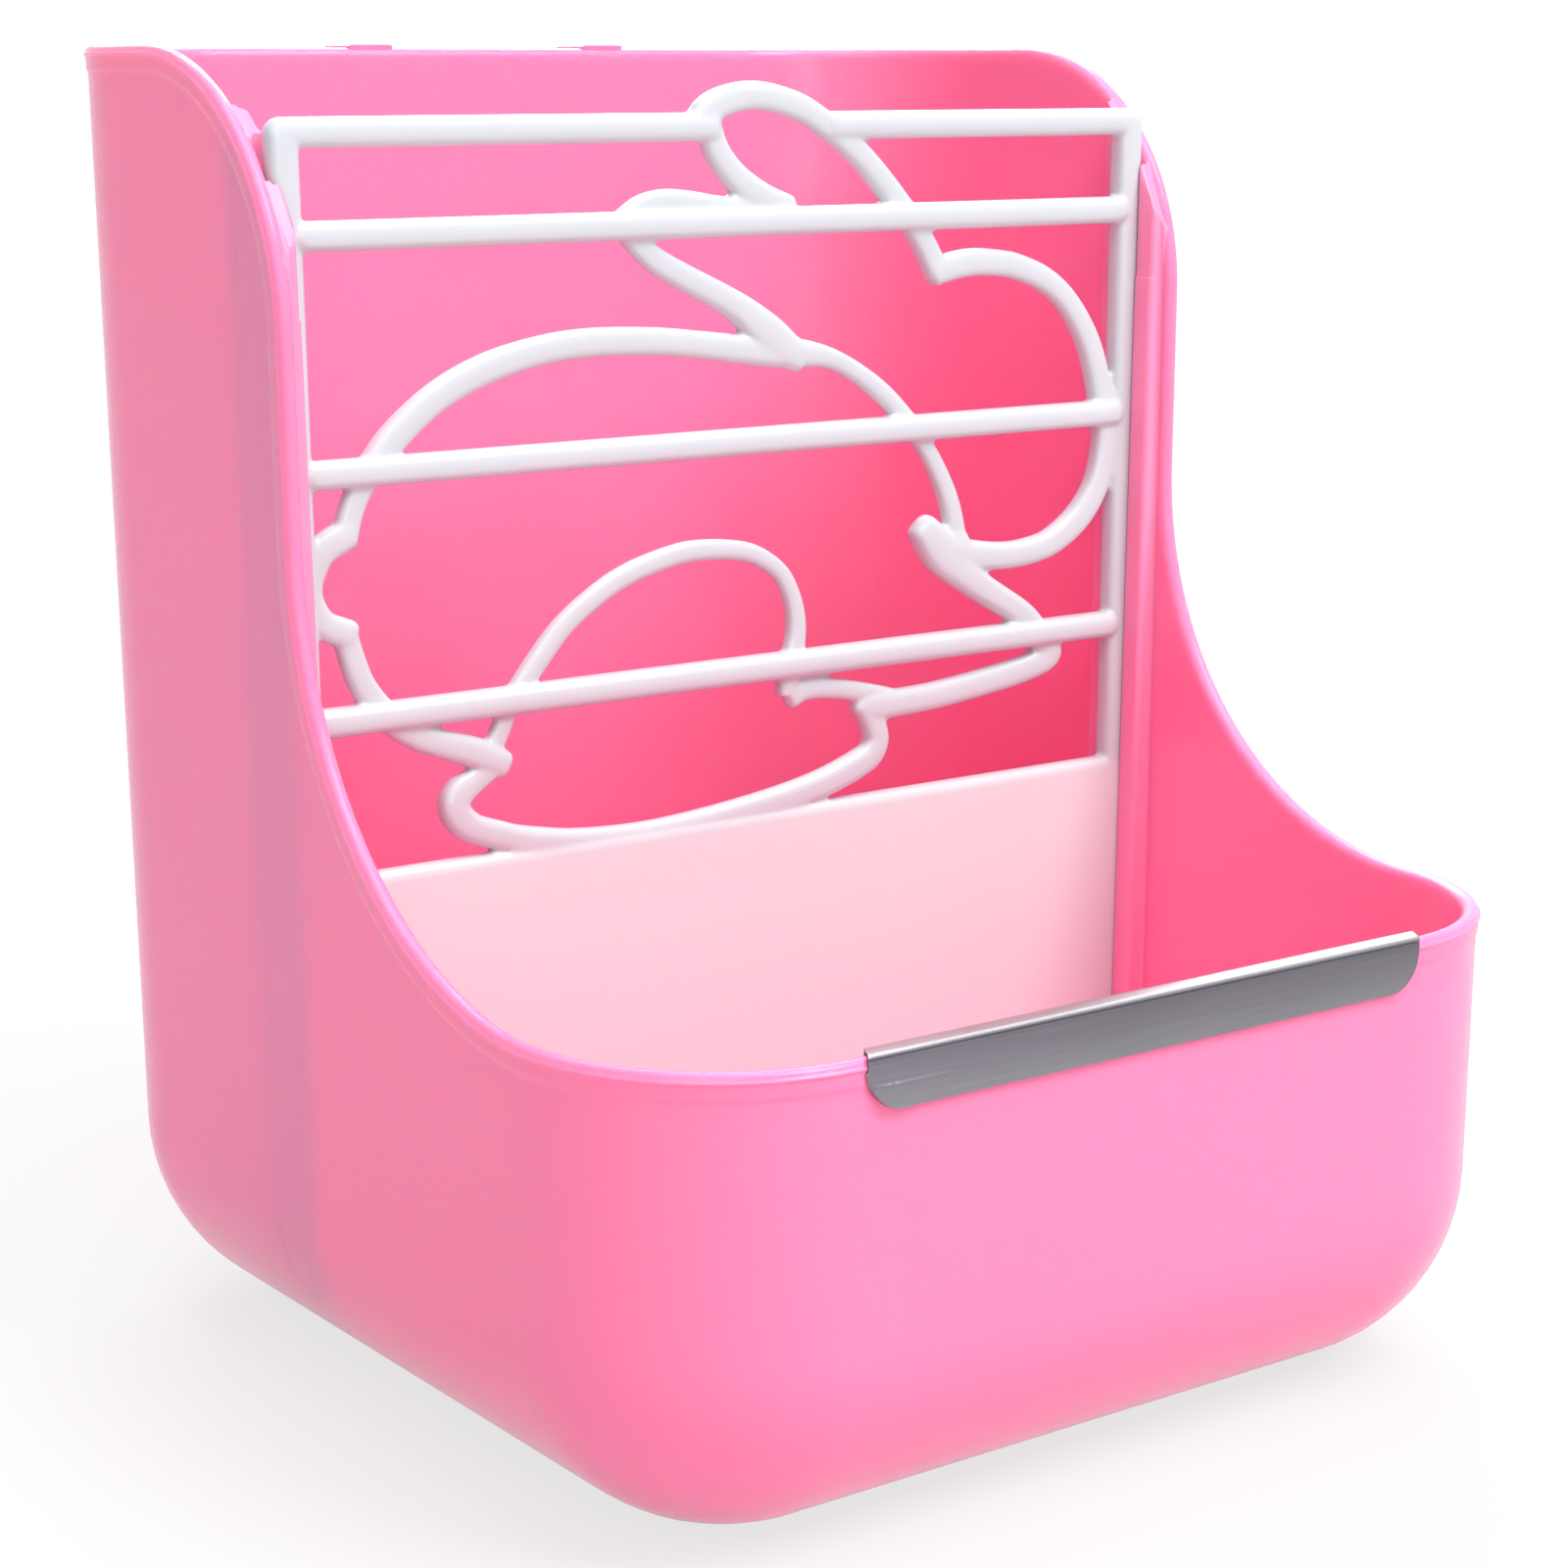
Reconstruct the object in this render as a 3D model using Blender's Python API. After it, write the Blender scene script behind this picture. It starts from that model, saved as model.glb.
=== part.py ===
"""Two-in-one rabbit hay feeder: a hay rack with a bowl in front of it.

The body is one pink moulding: an open-topped shell whose side walls swoop down from the tall
back to the low rim of the bowl. A white grille slides down between two pairs of ribs and parts
the hay from the bowl. A folded steel strip guards the middle of the front rim from chewing.
Two hooks at the top of the back hang the feeder on a cage wire.

Metres, +Z up, +X to the right, the bowl towards -Y. The origin is at the bottom centre.
"""
import math

import bmesh
import bpy
from mathutils import Vector

MM = 0.001

# Body shell
WIDTH = 140 * MM
DEPTH = 144.5 * MM
HEIGHT = 167 * MM
FRONT_RIM = 60.5 * MM
WALL = 2.0 * MM
DRAFT = math.radians(0.54)
CORNER_RADIUS = 26.5 * MM
BOTTOM_RADIUS = 26 * MM
UPPER_SWOOP = 33.3 * MM
LOWER_SWOOP = 48.5 * MM

# Slide-in grille: where it stands, and the sizes of its bars and plate
GRILLE_SETBACK = 62.95 * MM
GRILLE_THICKNESS = 3.5 * MM
GRILLE_TOP_DROP = 8.5 * MM
FRAME_BAR = 4.1 * MM
FRAME_CORNER = 1.4 * MM
TOP_BAR = 3.7 * MM
CROSS_BAR = 3.75 * MM
CROSS_BAR_PROUD = 0.5 * MM
CROSS_BAR_DROPS = (12.0 * MM, 40.0 * MM, 70.1 * MM)
PLATE_TOP = 67.3 * MM
PLATE_THICKNESS = 2.6 * MM
PLATE_EDGE = 4 * MM
STROKE = 3.7 * MM
FLUSH_STEP = 0.02 * MM
RUNNING_GAP = 0.3 * MM
CHANNEL_PLAY = 0.6 * MM

# Guide ribs, a front and a rear one on each side wall; they reach further in towards their feet
RIB_REACH = 1.3 * MM
RIB_THICKNESS = 3.1 * MM
RIB_CHAMFER = 0.8 * MM
RIB_DRAFT = math.radians(0.45)
RIB_STEP = 0.2 * MM
RIB_STEP_DROP = 31.5 * MM
FRONT_RIB_DROP = 13.8 * MM
REAR_RIB_DROP = 6.5 * MM
RIB_LEAD = 5 * MM
RIM_MARGIN = 1.6 * MM

# Steel chew guard on the front rim
GUARD_LENGTH = 84 * MM
GUARD_SHEET = 0.4 * MM
GUARD_FLANGE = 6.2 * MM
GUARD_LIP = 3.2 * MM
GUARD_CORNER = 4.5 * MM

# Cage hooks
HOOK_SPACING = 38 * MM
HOOK_WIDTH = 7 * MM
HOOK_SLOT = 4.6 * MM
HOOK_THICKNESS = 2.6 * MM
HOOK_LENGTH = 15 * MM
HOOK_RISE = 0.4 * MM

# Facets of a quarter circle
CORNER_STEPS = 8
SWOOP_STEPS = 12

# How far a hook is sunk into the wall that it grows from
ROOT = 0.6 * MM

HOOK_REACH = HOOK_SLOT + HOOK_THICKNESS
GUARD_REACH = RUNNING_GAP + GUARD_SHEET
Y_BACK = (DEPTH + GUARD_REACH - HOOK_REACH) / 2
Y_GRILLE = Y_BACK - GRILLE_SETBACK
GRILLE_FRONT = Y_GRILLE - GRILLE_THICKNESS / 2
GRILLE_REAR = Y_GRILLE + GRILLE_THICKNESS / 2
FRONT_RIB_REAR = GRILLE_FRONT - RUNNING_GAP
FRONT_RIB_FRONT = FRONT_RIB_REAR - RIB_THICKNESS
REAR_RIB_FRONT = GRILLE_REAR + RUNNING_GAP + CHANNEL_PLAY
Y_SWOOP = FRONT_RIB_FRONT - RIM_MARGIN
CAVITY_RADIUS = BOTTOM_RADIUS - WALL
TOP_BAR_Z = HEIGHT - GRILLE_TOP_DROP - TOP_BAR / 2

# The rabbit in the grille, drawn in millimetres on a panel this wide and high, with bars as
# wide as DRAWING_STROKE: x from the middle, z above the plate's top edge. Each stroke is (bar
# width, points); a point may carry its own width where the stroke swells or comes to a tip.
DRAWING_WIDTH = 135
DRAWING_HEIGHT = 89.5
DRAWING_STROKE = 3.7
EAR_GAP = (-4.5, 14)
RABBIT = {
    "brow": (3.7, [(-7.5, 90.5), (-5.5, 92.5), (-2, 93.2), (6, 92.5), (10.5, 91), (21, 83.5), (25.5, 78.5),
                   (29.5, 73.5), (31.5, 70)]),
    "ear_front": (3.6, [(-6.5, 91.5), (-4, 86), (-1.5, 83.5, 3.8), (2, 81, 4.4), (6.5, 80, 3.4),
                        (8.5, 79.5, 2.2)]),
    "ear_back": (3.2, [(-17.5, 78), (-14.5, 79.5), (-11, 80.3), (-6, 80), (-0.5, 80)]),
    "ear_low": (3.7, [(-16.5, 77.5), (-15, 74.5), (-11.5, 72), (0, 66), (4.5, 63, 5.2), (8, 61, 4),
                      (10, 60, 2.4)]),
    "back": (3.7, [(-59, 42), (-55.5, 49.5), (-46.5, 57.5), (-35, 62), (-23, 63.4), (-11, 62.4), (0, 61.2),
                   (9, 60.5, 3.4), (15, 58.5, 3.2), (20.5, 55.5, 3.2), (29.5, 47.5), (33, 41.5), (36, 34)]),
    "tail": (4.2, [(-59, 42), (-62.5, 39.5), (-64, 36), (-62.8, 32.5), (-59.5, 30)]),
    "rump": (3.7, [(-59.5, 30), (-56.5, 21.5), (-53, 18), (-48.5, 15.8), (-39, 12.5, 4.2),
                   (-36.5, 11.5, 2.8)]),
    "belly": (3.7, [(-39.5, 12), (-43, 10.5, 4.6), (-44.5, 8, 5.6), (-43, 5, 5), (-36.5, 1.5),
                    (-31.5, 0.3), (-25.5, -0.5), (-18.5, -0.7), (-3.5, 0.3), (10.5, 2.6),
                    (19.5, 5.2, 4.4), (21.5, 7.5, 4.4), (20, 12, 4.2)]),
    "haunch": (3.1, [(-39, 13.5), (-34, 21.5), (-26, 29.7), (-14, 34.9), (-7.5, 35.7), (-1.5, 34.7),
                     (5, 31.5), (8, 26.5), (8.3, 21), (7, 16, 3.4)]),
    "paw": (3.3, [(7, 16), (15.5, 15), (23.5, 12.5)]),
    "foreleg": (3.9, [(20, 12), (29.5, 12.2), (42.5, 13.6), (48, 14.8), (52.3, 17), (49, 21.5),
                      (40, 26.5, 4.4), (35.5, 29, 5.4), (32.5, 31.5, 6), (30.5, 35, 4.6),
                      (29.5, 36.5, 3.2)]),
    "cheek": (3.8, [(31.5, 70), (38, 71.1), (45, 70), (53, 66), (59, 59), (62.3, 51), (63, 45), (61.5, 39),
                    (55.5, 33.2), (46, 30.5), (40.5, 31), (35, 32.5, 4.4)]),
    "throat": (3.7, [(36, 35.5), (36, 32.5, 4.6), (34.5, 30.5, 5)]),
}


def clear_scene():
    """Remove what the scene holds."""
    for obj in list(bpy.data.objects):
        bpy.data.objects.remove(obj, do_unlink=True)


def material(name, colour, roughness, metallic=0.0):
    """Make a Principled material from a linear colour."""
    mat = bpy.data.materials.new(name)
    mat.use_nodes = True
    shader = mat.node_tree.nodes["Principled BSDF"]
    shader.inputs["Base Color"].default_value = (*colour, 1.0)
    shader.inputs["Roughness"].default_value = roughness
    shader.inputs["Metallic"].default_value = metallic
    return mat


def add_object(name, bm, mat=None):
    """Turn a bmesh into a named object with outward faces."""
    bmesh.ops.recalc_face_normals(bm, faces=bm.faces)
    mesh = bpy.data.meshes.new(name)
    bm.to_mesh(mesh)
    bm.free()
    obj = bpy.data.objects.new(name, mesh)
    bpy.context.scene.collection.objects.link(obj)
    if mat:
        mesh.materials.append(mat)
    return obj


def loft(bm, rings, closed=False):
    """Skin a list of rings that have as many points each, and cap the ends of an open stack."""
    loops = [[bm.verts.new(point) for point in ring] for ring in rings]
    pairs = list(zip(loops, loops[1:]))
    if closed:
        pairs.append((loops[-1], loops[0]))
    for low, high in pairs:
        for i in range(len(low)):
            j = (i + 1) % len(low)
            bm.faces.new((low[i], low[j], high[j], high[i]))
    if not closed:
        bm.faces.new(loops[0])
        bm.faces.new(loops[-1])


def prism(bm, outline, axis, start, end):
    """Extrude an outline of 2D points along X or Y."""
    def place(u, w, along):
        return (along, u, w) if axis == "X" else (u, along, w)
    loft(bm, [[place(u, w, along) for u, w in outline] for along in (start, end)])


def apply_boolean(target, cutter, operation, self_cut=False):
    """Cut target by another object, or join the two, and drop the other object."""
    modifier = target.modifiers.new(operation.lower(), "BOOLEAN")
    modifier.operation = operation
    modifier.object = cutter
    modifier.solver = "EXACT"
    modifier.use_self = self_cut
    bpy.context.view_layer.update()
    evaluated = target.evaluated_get(bpy.context.evaluated_depsgraph_get())
    mesh = bpy.data.meshes.new_from_object(evaluated)
    target.modifiers.clear()
    old = target.data
    target.data = mesh
    bpy.data.meshes.remove(old)
    bpy.data.objects.remove(cutter, do_unlink=True)


def arc(centre, radius, start, end, steps):
    """Points of a circle's arc from one angle to another, in degrees."""
    turns = [math.radians(start + (end - start) * i / steps) for i in range(steps + 1)]
    return [(centre[0] + radius * math.cos(t), centre[1] + radius * math.sin(t)) for t in turns]


def lean(z):
    """How much further in the drafted walls stand at height z than at the top."""
    return (HEIGHT - z) * math.tan(DRAFT)


def inner_half_width(z):
    """Half the clear width between the side walls at height z, above the bottom radius."""
    return WIDTH / 2 - lean(z) - WALL


def front_face(z):
    """The Y of the front wall's outer face, which has its full depth at the bowl's rim."""
    return Y_BACK - DEPTH - (z - FRONT_RIM) * math.tan(DRAFT)


def plan_ring(z, inset):
    """The body's rounded plan at height z, drawn in by inset from its outer face."""
    half = WIDTH / 2 - lean(z) - inset
    front = front_face(z) + inset
    back = Y_BACK - lean(z) - inset
    radius = max(CORNER_RADIUS - inset, 0.3 * MM)
    corners = (((half - radius, back - radius), 0), ((radius - half, back - radius), 90),
               ((radius - half, front + radius), 180), ((half - radius, front + radius), 270))
    ring = []
    for centre, angle in corners:
        ring += arc(centre, radius, angle, angle + 90, CORNER_STEPS)
    return [(x, y, z) for x, y in ring]


def tub(name, wall, top):
    """A solid tub with a rounded foot: the outside of the body, or its cavity."""
    radius = BOTTOM_RADIUS - wall
    rings = []
    for i in range(CORNER_STEPS + 1):
        angle = math.radians(90 * i / CORNER_STEPS)
        z = wall + radius * (1 - math.cos(angle))
        rings.append(plan_ring(z, wall + radius * (1 - math.sin(angle))))
    rings.append(plan_ring(top, wall))
    bm = bmesh.new()
    loft(bm, rings)
    return add_object(name, bm)


def swoop_outline():
    """The side view of what is cut away above the bowl: the walls' S-shaped edge and a box."""
    upper = min(UPPER_SWOOP, (HEIGHT - FRONT_RIM) * 0.48)
    lower = min(LOWER_SWOOP, HEIGHT - FRONT_RIM - upper)
    clear = WALL * 10
    edge = arc((Y_SWOOP + upper, HEIGHT - upper), upper, 90, 180, SWOOP_STEPS)
    edge += arc((Y_SWOOP - lower, FRONT_RIM + lower), lower, 0, -90, SWOOP_STEPS)
    ahead = Y_BACK - DEPTH - clear
    return [(edge[0][0], HEIGHT + clear)] + edge + [(ahead, FRONT_RIM), (ahead, HEIGHT + clear)]


def rib_face(z):
    """The X of the ribs' inner faces at height z."""
    step = RIB_STEP if z <= HEIGHT - RIB_STEP_DROP else 0
    return inner_half_width(z) - RIB_REACH - step - (HEIGHT - z) * math.tan(RIB_DRAFT)


def wall_rib(side, front, rear, low, high, lead):
    """One upright rib on a side wall, whose inner face eases back over the lead at its top.

    Its face towards the channel is square to the wall; the other one, at front, is chamfered.
    """
    levels = [(low, 0), (high - lead, 0), (high - lead / 3, RIB_REACH * 0.2), (high, RIB_REACH * 0.6)]
    chamfer = RIB_CHAMFER if rear > front else -RIB_CHAMFER
    rings = []
    for z, ease in levels:
        face = side * (rib_face(z) + ease)
        root = side * WIDTH
        rings.append([(root, front, z), (face + side * RIB_CHAMFER, front, z), (face, front + chamfer, z),
                      (face, rear, z), (root, rear, z)])
    bm = bmesh.new()
    loft(bm, rings)
    return add_object("rib", bm)


def wall_ribs(side):
    """The front rib, its prouder lower part and the rear rib of one side wall."""
    step_z = HEIGHT - RIB_STEP_DROP
    front, rear = FRONT_RIB_FRONT, FRONT_RIB_REAR
    behind = REAR_RIB_FRONT
    return [wall_rib(side, front, rear, step_z - RIB_LEAD, HEIGHT - FRONT_RIB_DROP, RIB_LEAD),
            wall_rib(side, front - RIB_STEP, rear, 0, step_z, 0.4 * MM),
            wall_rib(side, behind + RIB_THICKNESS, behind, 0, HEIGHT - REAR_RIB_DROP, RIB_LEAD / 2)]


def cage_hook(centre):
    """A flat hook that leaves the back wall at its top edge and turns down outside it."""
    top = HEIGHT + HOOK_RISE
    arm = top - HOOK_THICKNESS
    root = Y_BACK - lean(arm - HOOK_THICKNESS) - ROOT
    tip = Y_BACK + HOOK_REACH
    tongue = Y_BACK + HOOK_SLOT
    bevel = HOOK_THICKNESS / 2
    outline = [(root, arm), (tongue, arm), (tongue, top - HOOK_LENGTH), (tip - bevel, top - HOOK_LENGTH),
               (tip, top - HOOK_LENGTH + bevel), (tip, top - bevel), (tip - bevel, top), (root, top)]
    bm = bmesh.new()
    prism(bm, outline, "X", centre - HOOK_WIDTH / 2, centre + HOOK_WIDTH / 2)
    return add_object("hook", bm)


def make_body():
    """The pink shell with its swoop, guide ribs and cage hooks."""
    body = tub("feeder_body", 0, HEIGHT)
    cavity = tub("cavity", WALL, HEIGHT + 10 * MM)
    for rib in wall_ribs(-1) + wall_ribs(1):
        apply_boolean(cavity, rib, "DIFFERENCE")
    apply_boolean(body, cavity, "DIFFERENCE")
    bm = bmesh.new()
    prism(bm, swoop_outline(), "X", -WIDTH, WIDTH)
    apply_boolean(body, add_object("swoop", bm), "DIFFERENCE")
    for side in (-1, 1):
        apply_boolean(body, cage_hook(side * HOOK_SPACING / 2), "UNION")
    body.data.materials.clear()
    body.data.materials.append(material("pink_polypropylene", (0.93, 0.24, 0.44), 0.25))
    return body


def smooth_points(points, steps):
    """A Catmull-Rom curve through points of any dimension, with steps pieces between two."""
    vectors = [Vector(p) for p in points]
    padded = [2 * vectors[0] - vectors[1]] + vectors + [2 * vectors[-1] - vectors[-2]]
    curve = []
    for a, b, c, d in zip(padded, padded[1:], padded[2:], padded[3:]):
        for i in range(steps):
            t = i / steps
            curve.append(0.5 * (2 * b + (c - a) * t + (2 * a - 5 * b + 4 * c - d) * t ** 2
                                + (3 * b - a - 3 * c + d) * t ** 3))
    return curve + [vectors[-1]]


def bend_radius(before, here, after):
    """The radius of the bend at a point of a path, plus where it turns left and minus right."""
    first = Vector((here[0] - before[0], here[1] - before[1]))
    second = Vector((after[0] - here[0], after[1] - here[1]))
    if first.length == 0 or second.length == 0:
        return math.inf
    turn = first.angle_signed(second)
    return -(first.length + second.length) / 2 / turn if turn else math.inf


def bar(points, front, rear):
    """A bar with rounded edges along (x, z, width) points in the panel.

    On the inside of a tight bend it is narrower, so that it doesn't fold over itself.
    """
    across = ((-0.5, 0.28), (-0.5, 0.72), (-0.22, 1), (0.22, 1),
              (0.5, 0.72), (0.5, 0.28), (0.22, 0), (-0.22, 0))
    rings = []
    for i, (x, z, width) in enumerate(points):
        before, after = points[max(i - 1, 0)], points[min(i + 1, len(points) - 1)]
        along = Vector((after[0] - before[0], after[1] - before[1])).normalized()
        side = Vector((-along.y, along.x))
        radius = bend_radius(before, (x, z), after)
        ring = []
        for u, v in across:
            inner = u * radius > 0
            reach = min(abs(u) * width, abs(radius) * abs(u) * 1.6) if inner else abs(u) * width
            reach = math.copysign(reach, u)
            ring.append((x + side.x * reach, rear + (front - rear) * v, z + side.y * reach))
        rings.append(ring)
    bm = bmesh.new()
    loft(bm, rings)
    return add_object("bar", bm)


def panel_half_width(z):
    """Half the grille's width at height z: the clear width less a running gap on each side."""
    return inner_half_width(z) - RUNNING_GAP


def drawing_scale():
    """Metres for each of the drawing's millimetres, across and up."""
    return 2 * panel_half_width(TOP_BAR_Z) / DRAWING_WIDTH, (TOP_BAR_Z - PLATE_TOP) / DRAWING_HEIGHT


def flush_bar(points, rank):
    """A bar as deep as the grille, less its own small step, so that no two faces share a plane."""
    return bar(points, GRILLE_FRONT + FLUSH_STEP * rank, GRILLE_REAR - FLUSH_STEP * rank)


def rabbit_bars():
    """The strokes of the rabbit, fitted to the panel between the frame bars and the plate."""
    across, up = drawing_scale()
    thick = STROKE / DRAWING_STROKE
    strokes = []
    for i, (width, points) in enumerate(RABBIT.values()):
        full = [(p[0] * across, PLATE_TOP + p[1] * up, thick * (p[2] if len(p) > 2 else width))
                for p in points]
        strokes.append(flush_bar(smooth_points(full, 2), 5 + i % 5))
    return strokes


def frame_side(side):
    """An upright along the drafted wall, cut back at its top corner, and its half of the top bar."""
    end = EAR_GAP[0 if side < 0 else 1] * drawing_scale()[0]
    top = TOP_BAR_Z + TOP_BAR / 2
    points = [(side * (panel_half_width(z) - FRAME_BAR / 2), z, FRAME_BAR)
              for z in (PLATE_TOP - PLATE_EDGE, top - FRAME_CORNER)]
    corner = side * (panel_half_width(top) - FRAME_BAR / 2 - FRAME_CORNER / 2)
    points.append((corner, top, FRAME_BAR - FRAME_CORNER))
    return [flush_bar(points, 1), flush_bar([(corner, TOP_BAR_Z, TOP_BAR), (end, TOP_BAR_Z, TOP_BAR)], 2)]


def lower_plate():
    """The solid plate between hay and bowl, whose foot follows the body's bottom radius."""
    radius = CAVITY_RADIUS - RUNNING_GAP
    foot = WALL + RUNNING_GAP
    half = panel_half_width(WALL)
    shoulder = PLATE_TOP - PLATE_EDGE / 2
    outline = arc((half - radius, foot + radius), radius, -90, 0, CORNER_STEPS)
    outline += [(panel_half_width(shoulder), shoulder), (-panel_half_width(shoulder), shoulder)]
    outline += arc((radius - half, foot + radius), radius, 180, 270, CORNER_STEPS)
    bm = bmesh.new()
    prism(bm, outline, "Y", GRILLE_FRONT, GRILLE_FRONT + PLATE_THICKNESS)
    return add_object("hay_grille", bm)


def make_grille():
    """The white panel: plate, frame, cross bars and rabbit, all one moulding."""
    grille = lower_plate()
    parts = frame_side(-1) + frame_side(1)
    for drop in CROSS_BAR_DROPS:
        z = TOP_BAR_Z - drop
        reach = panel_half_width(z) - FRAME_BAR * 0.75
        parts.append(bar([(-reach, z, CROSS_BAR), (reach, z, CROSS_BAR)], GRILLE_FRONT - CROSS_BAR_PROUD,
                         GRILLE_REAR - FLUSH_STEP * 3))
    z = PLATE_TOP - PLATE_EDGE / 2
    reach = panel_half_width(z) - FRAME_BAR / 2
    parts.append(flush_bar([(-reach, z, PLATE_EDGE), (reach, z, PLATE_EDGE)], 4))
    for part in parts + rabbit_bars():
        apply_boolean(grille, part, "UNION", self_cut=True)
    grille.data.materials.clear()
    grille.data.materials.append(material("white_polypropylene", (0.86, 0.85, 0.88), 0.3))
    return grille


def guard_profile():
    """The folded sheet in side view: outer flange, round fold over the rim and inner lip."""
    outer = front_face(FRONT_RIM) - RUNNING_GAP
    inner = front_face(FRONT_RIM) + WALL + RUNNING_GAP
    middle = (outer + inner) / 2
    fold = (inner - outer) / 2
    top = FRONT_RIM + RUNNING_GAP
    sag = math.tan(DRAFT)
    skin = []
    for thickness in (GUARD_SHEET, 0.0):
        radius = fold + thickness
        flange_foot = (middle - radius + GUARD_FLANGE * sag, top - GUARD_FLANGE)
        lip_foot = (middle + radius + GUARD_LIP * sag, top - GUARD_LIP)
        squash = 0.35
        bend = [(y, top + (z - top) * squash + (thickness if radius > fold else 0))
                for y, z in arc((middle, top), radius, 180, 0, CORNER_STEPS)]
        side = [flange_foot] + bend + [lip_foot]
        skin += side if thickness else side[::-1]
    return skin


def make_guard():
    """The steel strip, with the lower corners of its flange rounded off."""
    bm = bmesh.new()
    prism(bm, guard_profile(), "X", -GUARD_LENGTH / 2, GUARD_LENGTH / 2)
    guard = add_object("rim_guard", bm)
    half, radius = GUARD_LENGTH / 2, GUARD_CORNER
    foot = FRONT_RIM + RUNNING_GAP - GUARD_FLANGE
    top = FRONT_RIM + 10 * MM
    outline = arc((half - radius, foot + radius), radius, -90, 0, CORNER_STEPS) + [(half, top), (-half, top)]
    outline += arc((radius - half, foot + radius), radius, 180, 270, CORNER_STEPS)
    bm = bmesh.new()
    prism(bm, outline, "Y", front_face(FRONT_RIM) - 5 * MM, front_face(FRONT_RIM) + 10 * MM)
    apply_boolean(guard, add_object("guard_outline", bm), "INTERSECT")
    guard.data.materials.clear()
    guard.data.materials.append(material("brushed_steel", (0.30, 0.29, 0.31), 0.35, 1.0))
    return guard


clear_scene()
for piece in (make_body(), make_grille(), make_guard()):
    piece.data.shade_smooth()
    piece.data.set_sharp_from_angle(angle=math.radians(30))
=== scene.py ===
"""A two-in-one rabbit feeder: hay rack behind a lift-out grille, food bowl in front.

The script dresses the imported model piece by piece, in the order in which the real one is put
together: the pink tub with its guide ribs and cage hooks, the white grille that slides down
between the ribs, and the steel strip on the bowl's rim. Metres, +Z up, the bowl towards -Y.
"""

import math

import bmesh
import bpy
from mathutils import Matrix, Vector, noise


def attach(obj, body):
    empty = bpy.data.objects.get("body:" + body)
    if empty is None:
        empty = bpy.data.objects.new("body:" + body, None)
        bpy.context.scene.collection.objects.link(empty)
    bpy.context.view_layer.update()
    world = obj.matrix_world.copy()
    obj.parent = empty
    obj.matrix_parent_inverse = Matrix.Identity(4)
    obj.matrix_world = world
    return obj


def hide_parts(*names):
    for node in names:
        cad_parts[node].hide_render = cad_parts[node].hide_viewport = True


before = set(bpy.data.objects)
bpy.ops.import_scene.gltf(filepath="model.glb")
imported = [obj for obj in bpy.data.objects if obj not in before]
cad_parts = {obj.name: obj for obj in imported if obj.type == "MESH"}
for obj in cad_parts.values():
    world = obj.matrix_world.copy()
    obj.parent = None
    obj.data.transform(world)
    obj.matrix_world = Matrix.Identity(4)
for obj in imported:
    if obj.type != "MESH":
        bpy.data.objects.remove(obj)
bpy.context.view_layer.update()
scene = bpy.context.scene
MM = 0.001


# The pink tub. One injection moulding in polypropylene: four walls with a draft, a rounded foot
# and big round corners, and an edge that swoops from the tall hay rack down to the bowl. The
# edge carries a thicker rolled bead, with the thin line that the two mould halves leave outside.

TUB_WIDTH = 140 * MM
TUB_HEIGHT = 167 * MM
TUB_BACK = 69.0 * MM
TUB_FRONT = -75.5 * MM
BOWL_RIM = 60.5 * MM
WALL = 2.0 * MM
DRAFT = math.radians(0.54)
CORNER = 26.5 * MM
FOOT = 26 * MM
SWOOP_EDGE = -0.8 * MM
UPPER_SWOOP = 33.3 * MM
LOWER_SWOOP = 48.5 * MM
# Where the edge's stretches begin and end along the foot: 1 at the back corner, 0 at the front one.
FOOT_SHARES = (1, 0.94, 0.7, 0.63, 0)
CORNER_STEPS = 28
BACK_STEPS = 16
FRONT_STEPS = 24
WALL_STEPS = 20
FOOT_STEPS = 16
FLOOR_RING = 0.8


def linear(code):
    """An sRGB hex colour as the linear values that a shader takes."""
    parts = [int(code[i:i + 2], 16) / 255 for i in (1, 3, 5)]
    return [c / 12.92 if c <= 0.04045 else ((c + 0.055) / 1.055) ** 2.4 for c in parts] + [1.0]


def add(tree, kind, inputs=None, **settings):
    """Add a node; inputs maps a socket's name or number to a value or to another node's output."""
    made = tree.nodes.new(kind)
    for name, value in settings.items():
        setattr(made, name, value)
    for name, value in (inputs or {}).items():
        if isinstance(value, bpy.types.NodeSocket):
            tree.links.new(value, made.inputs[name])
        else:
            made.inputs[name].default_value = value
    return made


def lean(z):
    """How far the drafted side and back walls have come in at height z."""
    return (TUB_HEIGHT - z) * math.tan(DRAFT)


def tub_half(z):
    return TUB_WIDTH / 2 - lean(z)


def tub_front(z):
    return TUB_FRONT - (z - BOWL_RIM) * math.tan(DRAFT)


def wall_point(station, z, inset, y=None):
    """A point of the wall at a station of the plan, drawn in by inset from the outer face."""
    kind, where, along = station
    half, front, back = tub_half(z), tub_front(z), TUB_BACK - lean(z)
    if kind == "side":
        return Vector((where * (half - inset), y, z))
    if kind == "end":
        run = half - CORNER
        return Vector((along * run, back - inset if where > 0 else front + inset, z))
    sx, sy = where
    radius = CORNER - inset
    centre = Vector((sx * (half - CORNER), back - CORNER if sy > 0 else front + CORNER, z))
    return centre + Vector((sx * radius * math.cos(along), sy * radius * math.sin(along), 0))


def side_range(z):
    """Where the flat part of a side wall begins and ends at height z."""
    return tub_front(z) + CORNER, TUB_BACK - lean(z) - CORNER


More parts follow.
